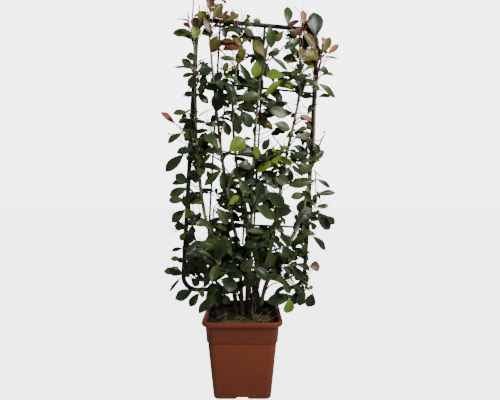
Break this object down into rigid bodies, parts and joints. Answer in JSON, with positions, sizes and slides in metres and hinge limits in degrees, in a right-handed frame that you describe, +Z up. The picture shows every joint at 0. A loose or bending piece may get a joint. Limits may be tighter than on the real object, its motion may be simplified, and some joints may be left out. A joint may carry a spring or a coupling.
{
  "type": "potted espaliered photinia",
  "caption": "Red tip photinia trained flat on a steel tube trellis in a square pot: slender stems, open sprays of leaves and bronze young leaves along the top.",
  "frame": {"origin": "centre of the pot's flat underside", "axes": "+Z up, +X to the right and -Y to the front of the pot, as in the picture"},
  "size_m": [0.6915, 0.4194, 1.506],
  "materials": {
    "pot": "matte terracotta-coloured plastic",
    "soil": "damp potting soil with moss",
    "trellis": "satin black",
    "bark": "brown-grey bark",
    "green_leaf": "glossy dark green leaf",
    "bronze_leaf": "glossy young leaf, olive to bronze"
  },
  "bodies": {
    "root": {"pot": "pot", "soil": "soil", "post_left": "trellis", "post_right": "trellis", "corner_top_left": "trellis", "corner_top_right": "trellis", "top_bar": "trellis", "corner_low_left": "trellis", "corner_low_right": "trellis", "leg_left": "trellis", "leg_right": "trellis", "wire_low": "trellis", "wire_middle": "trellis", "wire_upper": "trellis", "rod_left": "trellis", "rod_centre": "trellis", "stem_left": "bark", "stem_inner_left": "bark", "stem_middle": "bark", "stem_centre": "bark", "stem_inner_right": "bark", "stem_right": "bark", "bough_low_left": "bark", "bough_low_right": "bark", "foliage_left_1": "green_leaf", "foliage_left_2": "green_leaf", "foliage_left_3": "green_leaf", "foliage_left_4": "green_leaf", "foliage_left_5": "green_leaf", "foliage_left_6": "green_leaf", "foliage_left_7": "bronze_leaf", "foliage_inner_left_1": "green_leaf", "foliage_inner_left_2": "green_leaf", "foliage_inner_left_3": "green_leaf", "foliage_inner_left_4": "green_leaf", "foliage_inner_left_5": "green_leaf", "foliage_inner_left_6": "bronze_leaf", "foliage_middle_1": "green_leaf", "foliage_middle_2": "green_leaf", "foliage_middle_3": "green_leaf", "foliage_middle_4": "bronze_leaf", "foliage_centre_1": "green_leaf", "foliage_centre_2": "green_leaf", "foliage_centre_3": "green_leaf", "foliage_centre_4": "bronze_leaf", "foliage_inner_right_1": "green_leaf", "foliage_inner_right_2": "green_leaf", "foliage_inner_right_3": "green_leaf", "foliage_inner_right_4": "green_leaf", "foliage_inner_right_5": "green_leaf", "foliage_inner_right_6": "bronze_leaf", "foliage_right_1": "green_leaf", "foliage_right_2": "green_leaf", "foliage_right_3": "green_leaf", "foliage_right_4": "green_leaf", "foliage_right_5": "green_leaf", "foliage_right_6": "bronze_leaf", "foliage_low_left_1": "green_leaf", "foliage_low_left_2": "green_leaf", "foliage_low_right_1": "green_leaf"}
  },
  "joints": []
}
